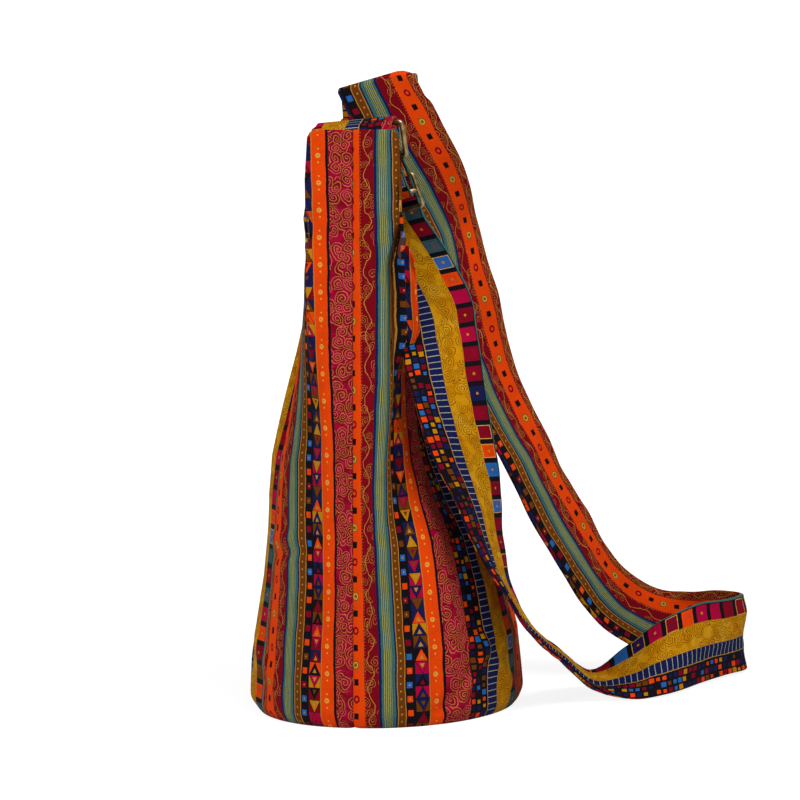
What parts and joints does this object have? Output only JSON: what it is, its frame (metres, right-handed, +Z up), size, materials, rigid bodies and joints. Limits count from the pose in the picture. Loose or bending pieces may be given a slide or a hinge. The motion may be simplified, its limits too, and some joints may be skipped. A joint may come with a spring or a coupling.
{
  "type": "bucket shoulder bag",
  "caption": "Round-bottomed printed cotton bucket shoulder bag with raised side ears, a gathered mouth, a wide flat strap, a ring on a tab and a sliding strap adjuster.",
  "frame": {"origin": "middle of the round base on the floor", "axes": "+Z up, +X towards the side seam and ear that carry the ring, -Y the front panel, +Y the back panel over which the strap hangs"},
  "size_m": [0.2328, 0.307, 0.4259],
  "materials": {
    "print_cloth": "printed cotton, matt, stripes of orange, dark red, magenta, teal, ochre and black",
    "base_cloth": "dark printed cotton over a stiffener",
    "brass": "antiqued, darkened, worn bright on edges"
  },
  "bodies": {
    "bag": {"front_panel": "print_cloth", "back_panel": "print_cloth", "base_panel": "base_cloth", "ring_tab": "print_cloth", "shoulder_strap": "print_cloth"},
    "ring": {"strap_ring": "brass"},
    "adjuster": {"strap_adjuster": "brass", "strap_end": "print_cloth"}
  },
  "joints": [
    {"name": "ring", "type": "hinge", "parent": "bag", "child": "ring", "pos_m": [0.0205, -0.002, 0.3915], "axis": [0, 0.9962, 0.0872], "range_deg": [-20, 35], "deforming": ["shoulder_strap"]},
    {"name": "adjuster", "type": "slide", "parent": "bag", "child": "adjuster", "axis": [-0.128, 0.2591, -0.9573], "range_m": [-0.001, 0.006], "deforming": ["shoulder_strap"]}
  ]
}
